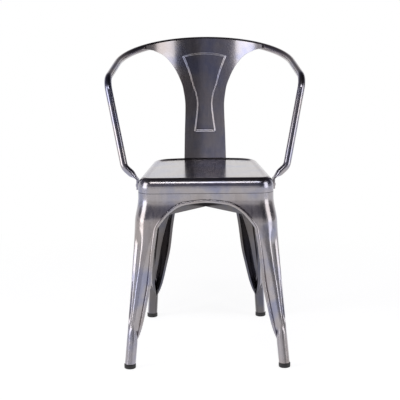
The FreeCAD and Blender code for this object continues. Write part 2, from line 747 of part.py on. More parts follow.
def back_splat():
    """Curved sheet with its embossed panel, and the tab on the skirt's rear face."""
    back = Vec(0, tool_reach, 0)
    hollow = splat_cylinder(splat_radius)
    pressed = Part.Face(panel_outline(0.0)).extrude(back)
    hollow = hollow.fuse(splat_cylinder(splat_radius + panel_depth).common(pressed))
    raised = Part.Face(panel_outline(splat_sheet)).extrude(back)
    solid = splat_cylinder(splat_radius + splat_sheet)
    solid = solid.fuse(splat_cylinder(splat_radius + panel_depth + splat_sheet).common(raised))
    outline = Part.Face(splat_outline()).extrude(back)
    leaning = solid.common(outline).cut(hollow)
    tab = plan_prism(kick_top, -splat_sheet, splat_tab_bottom, splat_tab_top)
    tab = tab.cut(plan_prism(kick_top, 0.0, skirt_bottom, seat_height))
    width = 2.0 * splat_half[0][0]
    tab = tab.common(Part.makeBox(width, tool_reach, seat_height, Vec(-width / 2.0, 0, 0)))
    splat = leaning.fuse(tab).cut(plan_prism(kick_top, 0.0, skirt_bottom, seat_height))
    return splat.cut(arm_bar())


def save(name, shape):
    shape.exportStep(os.path.join("parts", name + ".step"))
    volumes = ", ".join("%.0f" % solid.Volume for solid in shape.Solids)
    print("%-22s valid %s, solids of %s mm3" % (name, shape.isValid(), volumes))


def build():
    os.makedirs("parts", exist_ok=True)
    holes = rivet_bar(1.0)
    pan = seat_pan()
    front_leg = leg(False)
    tube = arm_tube()
    for hole in holes:
        pan = pan.cut(hole)
        front_leg = front_leg.cut(hole)
    save("seat_pan", pan)
    save("arm_back_tube", tube)
    save("leg_front_right", front_leg)
    save("leg_front_left", mirror_x(front_leg))
    rear_leg = leg(True)
    save("leg_rear_right", rear_leg)
    save("leg_rear_left", mirror_x(rear_leg))
    for rear, place in ((False, "front"), (True, "rear")):
        plug = foot_plug(rear)
        save("foot_%s_right" % place, plug)
        save("foot_%s_left" % place, mirror_x(plug))
    for bar, name in zip(brace_bars(), ("brace_bar_lower", "brace_bar_upper")):
        save(name, bar)
    save("back_splat", back_splat())
    save("arm_rivets", rivets())


build()
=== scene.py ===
import math

import bmesh
import bpy
from mathutils import Matrix, Vector


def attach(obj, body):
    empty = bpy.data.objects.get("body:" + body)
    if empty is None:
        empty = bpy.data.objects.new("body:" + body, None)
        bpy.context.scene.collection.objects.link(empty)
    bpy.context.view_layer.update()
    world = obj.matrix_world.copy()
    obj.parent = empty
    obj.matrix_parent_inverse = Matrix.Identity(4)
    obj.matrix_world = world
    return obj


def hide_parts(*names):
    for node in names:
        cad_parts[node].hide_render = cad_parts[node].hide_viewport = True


# Metal bistro armchair. Lengths in the dictionaries are millimetres, angles are degrees.
# Right and left are as seen from the front of the chair, +X is to the right.

millimetre = 0.001             # m
mergeWithin = 0.02             # mm, vertices closer than this become one

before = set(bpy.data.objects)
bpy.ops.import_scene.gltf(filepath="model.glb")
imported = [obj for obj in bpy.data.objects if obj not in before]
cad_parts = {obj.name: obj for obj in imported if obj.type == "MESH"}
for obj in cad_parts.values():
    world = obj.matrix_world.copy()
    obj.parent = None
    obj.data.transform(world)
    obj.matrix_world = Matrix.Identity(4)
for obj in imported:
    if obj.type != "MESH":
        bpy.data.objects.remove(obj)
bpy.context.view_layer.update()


# Small helpers that every piece uses

def cornerName(kind, rear, left):
    return "%s_%s_%s" % (kind, "rear" if rear else "front", "left" if left else "right")


def mix(a, b, share):
    return a + (b - a) * share


def limited(value, low=0.0, high=1.0):
    return min(max(value, low), high)


def smooth(share):
    share = limited(share)
    return share * share * (3.0 - 2.0 * share)


def between(start, end, steps):
    # points between two ends, without the ends
    return [start.lerp(end, step / steps) for step in range(1, steps)]


def curveThrough(pairs, at):
    # smooth curve through (place, value) pairs, in rising order of place
    if at <= pairs[0][0]:
        return pairs[0][1]
    if at >= pairs[-1][0]:
        return pairs[-1][1]
    index = max(i for i in range(len(pairs) - 1) if pairs[i][0] <= at)
    slopes = []
    for i in (index, index + 1):
        if 0 < i < len(pairs) - 1:
            before = (pairs[i][1] - pairs[i - 1][1]) / (pairs[i][0] - pairs[i - 1][0])
            after = (pairs[i + 1][1] - pairs[i][1]) / (pairs[i + 1][0] - pairs[i][0])
            slopes.append(0.0 if before * after <= 0 else 2.0 * before * after / (before + after))
        else:
            j = min(i, len(pairs) - 2)
            slopes.append((pairs[j + 1][1] - pairs[j][1]) / (pairs[j + 1][0] - pairs[j][0]))
    span = pairs[index + 1][0] - pairs[index][0]
    t = (at - pairs[index][0]) / span
    return ((2 * t ** 3 - 3 * t ** 2 + 1) * pairs[index][1] + (t ** 3 - 2 * t ** 2 + t) * span * slopes[0]
            + (3 * t ** 2 - 2 * t ** 3) * pairs[index + 1][1] + (t ** 3 - t ** 2) * span * slopes[1])


def formGrid(columns, rows, place):
    # a flat grid whose vertices are moved to place(column, row), in mm
    bm = bmesh.new()
    bmesh.ops.create_grid(bm, x_segments=columns - 1, y_segments=rows - 1, size=0.5)
    for vert in bm.verts:
        column = round((vert.co.x + 0.5) * (columns - 1))
        row = round((vert.co.y + 0.5) * (rows - 1))
        vert.co = place(column, row)
    return bm


def sweepRings(bm, rings, closedEnds=True):
    # wraps a grid round rings of points in mm, and returns the last ring's vertices
    around, rows = len(rings[0]), len(rings)
    grid = {}
    for vert in bmesh.ops.create_grid(bm, x_segments=around, y_segments=rows - 1, size=0.5)["verts"]:
        column, row = round((vert.co.x + 0.5) * around), round((vert.co.y + 0.5) * (rows - 1))
        grid[(column, row)] = vert
        vert.co = rings[row][column % around]
    bmesh.ops.weld_verts(bm, targetmap={grid[(around, row)]: grid[(0, row)] for row in range(rows)})
    if closedEnds:
        for row in (0, rows - 1):
            bmesh.ops.contextual_create(bm, geom=[grid[(column, row)] for column in range(around)])
    return [grid[(column, rows - 1)] for column in range(around)]


def roundRing(centre, tangent, reference, radius, segments):
    side = reference.cross(tangent).normalized()
    other = tangent.cross(side).normalized()
    turns = [2.0 * math.pi * step / segments for step in range(segments)]
    return [centre + (side * math.cos(turn) + other * math.sin(turn)) * radius for turn in turns]


def mirror(bm):
    # a piece of the right becomes its twin on the left
    bmesh.ops.scale(bm, vec=(-1, 1, 1), verts=bm.verts)


def turnOutwards(bm, inside):
    # makes an open sheet's faces point away from a place inside
    bmesh.ops.recalc_face_normals(bm, faces=bm.faces)
    away = sum(face.normal.dot(face.calc_center_median() - inside) * face.calc_area() for face in bm.faces)
    if away < 0.0:
        bmesh.ops.reverse_faces(bm, faces=bm.faces)


def finishPiece(name, bm, material, smoothAngle):
    # cleans the mesh, brings it to metres, and makes the object
    bmesh.ops.remove_doubles(bm, verts=bm.verts, dist=mergeWithin)
    bmesh.ops.recalc_face_normals(bm, faces=bm.faces)
    bmesh.ops.scale(bm, vec=[millimetre] * 3, verts=bm.verts)
    mesh = bpy.data.meshes.new(name)
    bm.to_mesh(mesh)
    bm.free()
    mesh.materials.append(material)
    mesh.shade_smooth()
    mesh.set_sharp_from_angle(angle=math.radians(smoothAngle))
    piece = bpy.data.objects.new(name, mesh)
    bpy.context.scene.collection.objects.link(piece)
    return piece


# Materials

def linearFrom(hexColour, shade=1.0):
    channels = [int(hexColour[i:i + 2], 16) / 255.0 for i in (1, 3, 5)]
    return [shade * (c / 12.92 if c <= 0.04045 else ((c + 0.055) / 1.055) ** 2.4) for c in channels] + [1.0]


def addNode(tree, kind, settings=None, inputs=None, links=None, stops=None):
    # one node with its settings, its socket values, its links given as socket: (node, output), and the stops of
    # its colour ramp
    node = tree.nodes.new(kind)
    for key, value in (settings or {}).items():
        setattr(node, key, value)
    for key, value in (inputs or {}).items():
        node.inputs[key].default_value = value
    for key, (source, output) in (links or {}).items():
        tree.links.new(source.outputs[output], node.inputs[key])
    if stops:
        elements = node.color_ramp.elements
        while len(elements) < len(stops):
            elements.new(0.5)
        for element, (position, colour) in zip(elements, stops):
            element.position, element.color = position, colour
    return node


steelLook = dict(
    # colours under the lacquer, each with its place in the noise of the clouds
    blue=(0.36, "#8f90a4"),    # blue patches of the heat-treated sheet
    clear=(0.50, "#a5a0a4"),   # where the steel is bright
    warm=(0.66, "#a09897"),    # warm patches
    cloudSize=90.0,            # mm
    cloudDetail=3.0, cloudBreakup=0.55,
    streakWidth=7.0,           # mm, soft streaks of the brushing
    streakStretch=0.06,        # width of a streak against its length
    streakDetail=4.0, streakBreakup=0.6,
    streakRange=(0.3, 0.7),    # the part of the noise that shows
    streakDarker=0.12, streakLighter=0.06,
    brushPitch=1.6,            # mm, coarser than the real 0.1 mm so that it shows
    brushDepth=0.1,            # mm
    brushDetail=2.0, brushStrength=0.05,
    roughness=0.20,
    streakSmoother=0.05, streakRougher=0.07,
    coat=0.35, coatRoughness=0.06)


def brushedSteel(name, along, grain, shade=1.0):
    # Mild steel sheet, brushed and clear lacquered: dark gunmetal mirror with soft blue and warm clouds
    look = steelLook
    material = bpy.data.materials.new(name)
    material.use_nodes = True
    tree = material.node_tree
    shader = tree.nodes["Principled BSDF"]
    where = addNode(tree, "ShaderNodeTexCoord")
    clouds = addNode(tree, "ShaderNodeTexNoise", {},
                     {"Scale": 1.0 / (look["cloudSize"] * millimetre), "Detail": look["cloudDetail"],
                      "Roughness": look["cloudBreakup"]}, {"Vector": (where, "Object")})
    # a shade below 1 darkens every colour of the clouds, as painted shade
    cloudTone = addNode(tree, "ShaderNodeValToRGB", {}, {}, {"Fac": (clouds, "Fac")},
                        [(place, linearFrom(colour, shade)) for place, colour in
                         (look["blue"], look["clear"], look["warm"])])
    stretch = [1.0, 1.0, 1.0]
    stretch[along] = look["streakStretch"]
    grainPlace = addNode(tree, "ShaderNodeMapping", {"vector_type": "POINT"}, {"Scale": stretch},
                         {"Vector": (where, "Object")})
    streaks = addNode(tree, "ShaderNodeTexNoise", {},
                      {"Scale": 1.0 / (look["streakWidth"] * millimetre), "Detail": look["streakDetail"],
                       "Roughness": look["streakBreakup"]}, {"Vector": (grainPlace, "Vector")})
    low, high = look["streakRange"]
    streakTone = addNode(tree, "ShaderNodeMapRange", {},
                         {"From Min": low, "From Max": high, "To Min": 1.0 - look["streakDarker"] * grain,
                          "To Max": 1.0 + look["streakLighter"] * grain}, {"Value": (streaks, "Fac")})
    colour = addNode(tree, "ShaderNodeMix", {"data_type": "RGBA", "blend_type": "MULTIPLY"}, {"Factor": 1.0},
                     {"A": (cloudTone, "Color"), "B": (streakTone, "Result")})
    brushing = addNode(tree, "ShaderNodeTexNoise", {},
                       {"Scale": 1.0 / (look["brushPitch"] * millimetre), "Detail": look["brushDetail"]},
                       {"Vector": (grainPlace, "Vector")})
    roughness = addNode(tree, "ShaderNodeMapRange", {},
                        {"From Min": low, "From Max": high,
                         "To Min": look["roughness"] - look["streakSmoother"] * grain,
                         "To Max": look["roughness"] + look["streakRougher"] * grain}, {"Value": (streaks, "Fac")})
    bump = addNode(tree, "ShaderNodeBump", {},
                   {"Strength": look["brushStrength"] * grain, "Distance": look["brushDepth"] * millimetre},
                   {"Height": (brushing, "Fac")})
    tree.links.new(colour.outputs["Result"], shader.inputs["Base Color"])
    tree.links.new(roughness.outputs["Result"], shader.inputs["Roughness"])
    tree.links.new(bump.outputs["Normal"], shader.inputs["Normal"])
    shader.inputs["Metallic"].default_value = 1.0
    shader.inputs["Coat Weight"].default_value = look["coat"]
    shader.inputs["Coat Roughness"].default_value = look["coatRoughness"]
    return material


rubberLook = dict(colour="#1d1c1e", roughness=0.5, ior=1.52)


def mouldedRubber(name):
    # Moulded rubber: nearly black with a soft wide sheen
    material = bpy.data.materials.new(name)
    material.use_nodes = True
    shader = material.node_tree.nodes["Principled BSDF"]
    shader.inputs["Base Color"].default_value = linearFrom(rubberLook["colour"])
    shader.inputs["Roughness"].default_value = rubberLook["roughness"]
    shader.inputs["IOR"].default_value = rubberLook["ior"]
    return material


alongY, alongZ = 1, 2          # axes that the brushing runs along
# name, axis of the brushing, how much of it shows, shade
steelUpright = brushedSteel("brushed lacquered steel, upright grain", alongZ, 1.0)    # soft streaks down the legs
steelSeat = brushedSteel("brushed lacquered steel, grain front to back", alongY, 0.5)    # a clear mirror
steelTube = brushedSteel("polished lacquered steel tube", alongZ, 0.0)    # a smooth bright line along the tube
steelSplatPaintedShade = brushedSteel("brushed lacquered steel of the back", alongZ, 0.35, 0.88)    # calm, and a bit darker as painted shade
steelInsidePaintedShade = brushedSteel("brushed lacquered steel, painted shade inside the rear legs", alongZ, 1.0, 0.36)    # painted shade: the hollow side darkened to dim
steelBracePaintedShade = brushedSteel("lacquered steel bar, painted shade under the seat", alongZ, 0.6, 0.35)    # painted shade under the seat makes it nearly black
rubber = mouldedRubber("moulded rubber")
print("materials made")


# Seat pan: pressed sheet with a rolled rim, a sunk field with drain holes and a turned-down skirt

seatPan = dict(
    height=450.0,              # top of the rim
    skirtBottom=414.3,
    frontHalf=165.5, frontY=-188.4, frontCorner=36.0,
    rearHalf=137.0, rearCornerY=153.13, rearCorner=62.0,
    rearBow=15.0,              # slope of the rear edge where its bow meets a corner
    bowMiddleY=176.9,          # the middle of the rear edge
    sideRun=338.7,             # how far the sides run back while they close in from front to rear half
    rimRadius=16.0, rimDrop=25.0,    # the rim rolls down further than it rolls in
    border=17.5, fieldWall=6.5, fieldDepth=3.0,
    sheet=1.5, insideHeight=300.0,
    drainDiameter=5.0, drainPitch=39.5, drainRowGap=64.0, drainMiddleOffset=28.0, drainFrontY=-67.0,
    drainInset=0.4,            # how far in the square of a hole starts, as a share of the hole's diameter
    drainCuts=5,               # points on each side of the square that becomes a drain hole
    frontSteps=6, frontArcSteps=12, sideSteps=8, rearArcSteps=16, rearEdgeSteps=12,
    skirtSteps=4, rimSteps=12, wallSteps=8, fieldLedge=1.0)


def cornerArc(corner, wayA, wayB, radius, inset, steps):
    # points round a corner from wayA to wayB, moved inwards by inset
    angle = wayA.angle(wayB)
    moved = corner + (wayA + wayB) * (inset / math.sin(angle))
    radius = radius - inset
    towards = (wayA + wayB).normalized()
    centre = moved + towards * (radius / math.sin(angle / 2.0))
    start = (moved + wayA * (radius / math.tan(angle / 2.0)) - centre).normalized()
    end = (moved + wayB * (radius / math.tan(angle / 2.0)) - centre).normalized()
    return [centre + start.slerp(end, step / steps) * radius for step in range(steps + 1)]


def seatRing(inset, z):
    # outline of the seat at height z, moved inwards by inset, as a closed ring of points
    seat = seatPan
    bow = math.radians(seat["rearBow"])
    front = Vector((seat["frontHalf"], seat["frontY"], 0.0))
    rear = Vector((seat["rearHalf"], seat["rearCornerY"], 0.0))
    sideWay = (rear - front).normalized()
    frontArc = cornerArc(front, Vector((-1, 0, 0)), sideWay, seat["frontCorner"], inset,
                         seat["frontArcSteps"])
    rearArc = cornerArc(rear, sideWay * -1.0, Vector((-math.cos(bow), math.sin(bow), 0)), seat["rearCorner"],
                        inset, seat["rearArcSteps"])
    low = rearArc[-1]
    bowRadius = low.x / math.sin(bow)
    bowCentre = low.y - bowRadius * math.cos(bow)
    rearEdge = []
    for step in range(1, seat["rearEdgeSteps"]):
        turn = bow * (1.0 - step / seat["rearEdgeSteps"])
        rearEdge.append(Vector((bowRadius * math.sin(turn), bowCentre + bowRadius * math.cos(turn), 0)))
    middleFront = Vector((0, frontArc[0].y, 0))
    half = between(middleFront, frontArc[0], seat["frontSteps"]) + frontArc
    half += between(frontArc[-1], rearArc[0], seat["sideSteps"]) + rearArc + rearEdge
    middleRear = Vector((0, bowCentre + bowRadius, 0))
    ring = [middleFront] + half + [middleRear] + [Vector((-p.x, p.y, 0)) for p in reversed(half)]
    return [Vector((p.x, p.y, z)) for p in ring]


def punchDrains(bm, level):
    # cuts a square cell round each drain hole out of the flat field and opens a round hole in it
    seat = seatPan
    cell = seat["drainDiameter"]
    holes = [(column * seat["drainPitch"],
              seat["drainFrontY"] + row * seat["drainRowGap"] + (seat["drainMiddleOffset"] if column == 0 else 0.0))
             for column in (-1, 0, 1) for row in (0, 1)]

    def field():
        return [f for f in bm.faces if all(abs(v.co.z - level) < 0.01 for v in f.verts)]

    for axis in (0, 1):
        for value in sorted({round(hole[axis], 3) for hole in holes}):
            for way in (-cell, cell):
                place, normal = Vector((0, 0, level)), Vector((0, 0, 0))
                place[axis], normal[axis] = value + way, 1.0
                faces = field()
                parts = set(faces) | {e for f in faces for e in f.edges} | {v for f in faces for v in f.verts}
                bmesh.ops.bisect_plane(bm, geom=list(parts), plane_co=place, plane_no=normal)
    for hole in holes:
        centre = Vector((hole[0], hole[1], level))
        square = min(field(), key=lambda face: (face.calc_center_median() - centre).length)
        bmesh.ops.inset_individual(bm, faces=[square], thickness=cell * seat["drainInset"], use_even_offset=True)
        bmesh.ops.subdivide_edges(bm, edges=list(square.edges), cuts=seat["drainCuts"])
        for vert in square.verts:
            vert.co = centre + (vert.co - centre).normalized() * (seat["drainDiameter"] / 2.0)
        bmesh.ops.delete(bm, geom=[square], context="FACES")


def makeSeat():
    # skirt, rolled rim, border, and the field's soft wall, then the flat field with its drains
    seat = seatPan
    skirtTop = seat["height"] - seat["rimDrop"]
    rings = [seatRing(0.0, mix(seat["skirtBottom"], skirtTop, step / seat["skirtSteps"]))
             for step in range(seat["skirtSteps"])]
    for step in range(seat["rimSteps"] + 1):
        turn = math.radians(90.0 * step / seat["rimSteps"])
        rings.append(seatRing(seat["rimRadius"] * (1.0 - math.cos(turn)), skirtTop + seat["rimDrop"] * math.sin(turn)))
    for step in range(seat["wallSteps"] + 1):
        share = step / seat["wallSteps"]
        rings.append(seatRing(seat["border"] + seat["fieldWall"] * share,
                              seat["height"] - seat["fieldDepth"] * smooth(share)))
    level = seat["height"] - seat["fieldDepth"]
    rings.append(seatRing(seat["border"] + seat["fieldWall"] + seat["fieldLedge"], level))
    bm = bmesh.new()
    bmesh.ops.contextual_create(bm, geom=sweepRings(bm, rings, closedEnds=False))
    punchDrains(bm, level)
    turnOutwards(bm, Vector((0, 0, seat["insideHeight"])))
    bmesh.ops.solidify(bm, geom=list(bm.faces), thickness=seat["sheet"])
    piece = finishPiece("seat_pressing", bm, steelSeat, smoothAngle=40.0)
    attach(piece, "root")
    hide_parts("seat_pan")


# Legs: corner pressings with half an arch on either side, a groove down the corner, two facets that fold
# inwards and close into a round foot tube, and a rolled edge from the arch to the foot

legPressing = dict(
    sheet=1.5, insideHeight=200.0,
    ledgeTop=413.7, ledgeBottom=411.5, flangeTop=431.0, flangeInset=1.65,
    kickTop=400.0, kickBottom=340.0, kickOut=8.5, leanRate=0.05, leanGrowth=0.00007,
    frontLeanRatio=1.754, rearLeanRatio=1.8, rearSideRatio=0.727,
    archTop=391.4, legTop=330.0, tubeTop=62.0, tubeBottom=11.6, tubeDiameter=26.0, tubeGap=3.0,
    rearWebRatio=1.18, straightBowShare=0.06,
    closeEarly=0.26, closeLate=0.12,    # where the middle and the tips of the section start to close into the tube
    frontKickRatio=1.1,        # the kick goes forward by this, for each mm to the side
    ledgeSoft=0.4, ledgeStep=0.5, ledgeDrop=0.35, ledgeGap=1.0,    # how the ledge under the skirt is rounded off
    ridgeGap=1.0, creaseGap=3.0,    # least run of the flat and of the facet
    grooveReach=0.85, grooveWall=2.1,    # share of the corner's arc, steepness of its walls
    insideFacing=-0.1,         # faces that turn inwards by more than this are the hollow side, which gets the painted shade
    # the arch: share of the half width, share of the drop
    archShape=[(0.0, 0.0), (0.43, 0.085), (0.60, 0.207), (0.80, 0.498), (0.88, 0.673), (0.955, 0.863), (1.0, 1.0)],
    archColumnLimit=0.995,     # short of the crease, so that no column folds over
    smoothing=0.5,             # of the finished skin
    facetColumns=5, flatColumns=2, arcColumns=6, grooveColumns=10,
    archColumns=18, channelRows=60, apronRows=14, footRows=5, rollRows=40, rollSegments=14)

# each section size against its height between the foot tube's top (0) and the leg's top (1), front leg
legSection = dict(
    corner=[(0.0, 12.0), (0.16, 13.3), (0.328, 17.5), (0.515, 22.0), (0.735, 29.5), (0.90, 35.0), (1.0, 36.0)],
    ridge=[(0.0, 15.5), (0.16, 17.3), (0.328, 21.5), (0.515, 26.0), (0.735, 33.5), (0.90, 42.0), (1.0, 47.0)],
    crease=[(0.0, 24.0), (0.082, 26.0), (0.16, 29.0), (0.328, 35.0), (0.515, 40.5), (0.735, 44.5), (0.90, 49.0),
            (1.0, 53.0)],
    depth=[(0.0, 13.0), (0.082, 12.5), (0.16, 11.5), (0.328, 11.0), (0.515, 9.5), (0.735, 5.5), (0.90, 2.0),
           (1.0, 0.0)],
    groove=[(0.0, 4.5), (0.082, 4.5), (0.16, 5.5), (0.328, 7.0), (0.515, 9.0), (0.735, 11.5), (0.90, 11.5),
            (1.0, 9.5)],
    grooveDepth=[(0.0, 0.0), (0.085, 0.0), (0.095, 0.5), (0.14, 3.3), (0.155, 3.7), (0.328, 4.0), (0.515, 4.4),
                 (0.735, 4.6), (0.868, 4.6), (0.878, 4.3), (0.970, 0.35), (0.980, 0.0), (1.0, 0.0)],
    roll=[(-0.008, 21.7), (0.082, 27.9), (0.16, 32.0), (0.328, 38.2), (0.515, 44.3), (0.735, 47.0), (0.90, 50.6),
          (1.0, 53.7)],
    rollDepth=[(-0.008, 21.7), (0.082, 16.0), (0.16, 12.8), (0.328, 11.6), (0.515, 9.4), (0.735, 5.8), (0.90, 3.4),
               (1.0, 2.6)],
    rollRadius=[(-0.008, 1.2), (0.082, 3.4), (0.16, 4.0), (0.328, 4.3), (0.515, 4.5), (0.735, 4.6), (0.90, 4.7),
                (1.0, 4.7)])


def legLean(z):
    leg = legPressing
    kick = leg["kickOut"] * smooth((leg["kickTop"] - z) / (leg["kickTop"] - leg["kickBottom"]))
    below = max(leg["kickBottom"] - z, 0.0)
    return kick + leg["leanRate"] * below + leg["leanGrowth"] * below * below


def webSize(rear, z):
    leg = legPressing
    if not rear:
        return 1.0
    share = limited((z - leg["tubeTop"]) / (leg["legTop"] - leg["tubeTop"]))
    return 1.0 + (leg["rearWebRatio"] - 1.0) * math.sqrt(share)


def apronShare(z):
    # 0 at the leg's top, 1 at the seat
    leg = legPressing
    return limited((z - leg["legTop"]) / (leg["kickTop"] - leg["legTop"]))


def cornerRadius(rear, z):
    seatRadius = seatPan["rearCorner"] if rear else seatPan["frontCorner"]
    return mix(legSection["corner"][-1][1] * webSize(rear, legPressing["legTop"]), seatRadius, apronShare(z))


def rearBowAt(z):
    rest = legPressing["straightBowShare"]
    return math.radians(seatPan["rearBow"]) * (rest + (1.0 - rest) * apronShare(z))


def legCorner(rear, z):
    # corner of the skin on the +X side, the way along the front or rear web, the way along the side web
    sideWay = Vector((seatPan["rearHalf"] - seatPan["frontHalf"], seatPan["sideRun"], 0)).normalized()
    if rear:
        bow = rearBowAt(z)
        way = Vector((-math.cos(bow), math.sin(bow), 0))
        half = seatPan["rearHalf"] + legPressing["rearSideRatio"] * legLean(z)
        reach = cornerRadius(True, z) / math.tan(way.angle(sideWay * -1.0) / 2.0)
        drop = reach * math.sin(bow) + (half - reach * math.cos(bow)) * math.tan(bow / 2.0)
        corner = Vector((half, seatPan["bowMiddleY"] - drop + legPressing["rearLeanRatio"] * legLean(z), z))
        return corner, way, sideWay * -1.0
    leg = legPressing
    eased = limited((z - leg["tubeTop"]) / (leg["kickBottom"] - leg["tubeTop"]))
    eased *= leg["kickOut"] * smooth((leg["kickTop"] - z) / (leg["kickTop"] - leg["kickBottom"]))
    forward = leg["frontLeanRatio"] * legLean(z) - (leg["frontLeanRatio"] - leg["frontKickRatio"]) * eased
    corner = Vector((seatPan["frontHalf"] + legLean(z), seatPan["frontY"] - forward, z))
    return corner, Vector((-1, 0, 0)), sideWay


def sideX(y, z):
    # x of the side web's plane
    front, rear = legCorner(False, z)[0], legCorner(True, z)[0]
    return front.x + (y - front.y) / (rear.y - front.y) * (rear.x - front.x)


def arcFrame(corner, wayA, wayB, radius):
    # centre of the corner's arc, the way out through its middle, the way across, half its angle
    angle = wayA.angle(wayB)
    out = (wayA + wayB).normalized() * -1.0
    centre = corner - out * (radius / math.sin(angle / 2.0))
    across = (wayA - wayB).normalized()
    return centre, out, across, (math.pi - angle) / 2.0


def webPoint(rear, side, distance, z, inset=0.0):
    # point of the plain skin on a web, this far from the leg's corner
    corner, wayA, wayB = legCorner(rear, z)
    if side:
        return corner + wayB * distance + wayA * inset
    if not rear:
        return corner + wayA * distance + wayB * inset
    bow = rearBowAt(z)
    reach = cornerRadius(True, z) / math.tan(wayA.angle(wayB) / 2.0)
    x = corner.x - distance * math.cos(bow)
    start = corner + wayA * reach
    if x >= start.x:
        return corner + wayA * distance + wayB * inset
    bowRadius = start.x / math.sin(bow)
    y = start.y + math.sqrt(bowRadius ** 2 - x ** 2) - bowRadius * math.cos(bow)
    return Vector((x, y - inset, z))


def sectionColumns(rear, z, inset=0.0):
    # points of the leg's section from the front or rear web's tip, round the corner, to the side web's tip
    leg = legPressing
    share = (z - leg["tubeTop"]) / (leg["legTop"] - leg["tubeTop"])
    size = webSize(rear, z)
    s = {key: curveThrough(pairs, share) for key, pairs in legSection.items()}
    above = share >= 1.0
    radius = cornerRadius(rear, z) if above else s["corner"] * size
    corner, wayA, wayB = legCorner(rear, z)
    centre, out, across, halfAngle = arcFrame(corner, wayA, wayB, radius)
    arcReach = radius * math.tan(halfAngle)
    ridge = max(s["ridge"] * size, arcReach + leg["ridgeGap"])
    crease = max(s["crease"] * size, ridge + leg["creaseGap"])
    depth = s["depth"] * size

    def webColumns(side):
        along, inwards = (wayB, wayA) if side else (wayA, wayB)
        if above:
            fold = webPoint(rear, side, ridge, z, inset)
            tip = webPoint(rear, side, crease, z, inset)
        else:
            fold = corner + along * ridge
            tip = corner + along * crease + inwards * depth
        start = centre + (corner + along * arcReach - centre).normalized() * (radius - inset)
        facet = [tip.lerp(fold, step / leg["facetColumns"]) for step in range(leg["facetColumns"])]
        flat = [fold.lerp(start, step / leg["flatColumns"]) for step in range(leg["flatColumns"])]
        return facet + flat

    grooveTurn = min(s["groove"] * size / radius, halfAngle * leg["grooveReach"])
    arcSteps, grooveSteps = leg["arcColumns"], leg["grooveColumns"]
    turns = [mix(halfAngle, grooveTurn, step / arcSteps) for step in range(arcSteps)]
    turns += [mix(grooveTurn, -grooveTurn, step / grooveSteps) for step in range(grooveSteps + 1)]
    turns += [mix(-grooveTurn, -halfAngle, (step + 1) / arcSteps) for step in range(arcSteps)]
    bend = []
    for turn in turns:
        wall = smooth((1.0 - abs(turn) / grooveTurn) * leg["grooveWall"])
        skin = radius - inset - s["grooveDepth"] * wall
        bend.append(centre + out * (skin * math.cos(turn)) + across * (skin * math.sin(turn)))
    columns = webColumns(False) + bend + list(reversed(webColumns(True)))
    if share < leg["closeEarly"]:
        tubeRadius = leg["tubeDiameter"] / 2.0 - inset
        tubeMiddle = corner + (wayA + wayB) * (leg["tubeDiameter"] / 2.0)
        half = math.radians(180.0 - leg["tubeGap"] / 2.0)
        for index, point in enumerate(columns):
            turn = half * (1.0 - 2.0 * index / (len(columns) - 1))
            toTip = abs(2.0 * index / (len(columns) - 1) - 1.0)
            closing = smooth(1.0 - share / mix(leg["closeEarly"], leg["closeLate"], toTip ** 2))
            onTube = tubeMiddle + out * (tubeRadius * math.cos(turn)) + across * (tubeRadius * math.sin(turn))
            columns[index] = point.lerp(onTube, closing)
    return columns


def archHalf(rear, side):
    # half width of an arch where the legs start, and the middle of a side arch
    top = legPressing["legTop"]
    edge = legSection["roll"][-1][1] + legSection["rollRadius"][-1][1]
    front, back = legCorner(False, top)[0], legCorner(True, top)[0]
    if not side:
        return (back.x - edge * webSize(True, top), 0.0) if rear else (front.x - edge, 0.0)
    low = front.y + edge
    high = back.y - edge * webSize(True, top)
    return (high - low) / 2.0, (high + low) / 2.0


def archRoll(rear, side):
    # centre line of the arch's rolled edge as flat (distance from the middle, height), apex first
    leg = legPressing
    half = archHalf(rear, side)[0]
    points = [(half * x, leg["archTop"] - (leg["archTop"] - leg["legTop"]) * drop) for x, drop in leg["archShape"]]
    lengths = [0.0]
    for a, b in zip(points, points[1:]):
        lengths.append(lengths[-1] + math.dist(a, b))
    across = [(-lengths[1], -points[1][0])] + [(at, point[0]) for at, point in zip(lengths, points)]
    down = [(-lengths[1], points[1][1])] + [(at, point[1]) for at, point in zip(lengths, points)]
    radius = legSection["rollRadius"][-1][1]
    centres = []
    for step in range(leg["archColumns"] + 1):
        at = lengths[-1] * step / leg["archColumns"]
        behind, here, ahead = [Vector((curveThrough(across, at + way), curveThrough(down, at + way)))
                               for way in (-0.5, 0.0, 0.5)]
        tangent = (ahead - behind).normalized() if step else Vector((1, 0))
        centres.append((here.x - tangent.y * radius, here.y + tangent.x * radius))
    return centres


def apronPoint(rear, side, share, z, inset=0.0):
    # point of the apron's skin at a share of the way from the arch's middle to the leg's crease
    corner = legCorner(rear, z)[0]
    crease = legSection["crease"][-1][1] * webSize(rear, legPressing["legTop"])
    tip = webPoint(rear, side, crease, z, inset)
    if side:
        middle = archHalf(rear, True)[1]
        y = mix(middle, tip.y, share)
        return Vector((sideX(y, z) - inset, y, z))
    x = tip.x * share
    if not rear:
        return Vector((x, tip.y, z))
    return webPoint(True, False, (corner.x - x) / math.cos(rearBowAt(z)), z, inset)


def archColumnShares(rear, side):
    # (share, height) of each arch column's foot, arch's middle first
    middle = archHalf(rear, side)[1]
    shares = []
    for distance, z in archRoll(rear, side)[:-1]:
        tip = apronPoint(rear, side, 1.0, z)
        full = abs(tip.y - middle) if side else tip.x
        shares.append((min(distance / full, legPressing["archColumnLimit"]), z))
    return shares


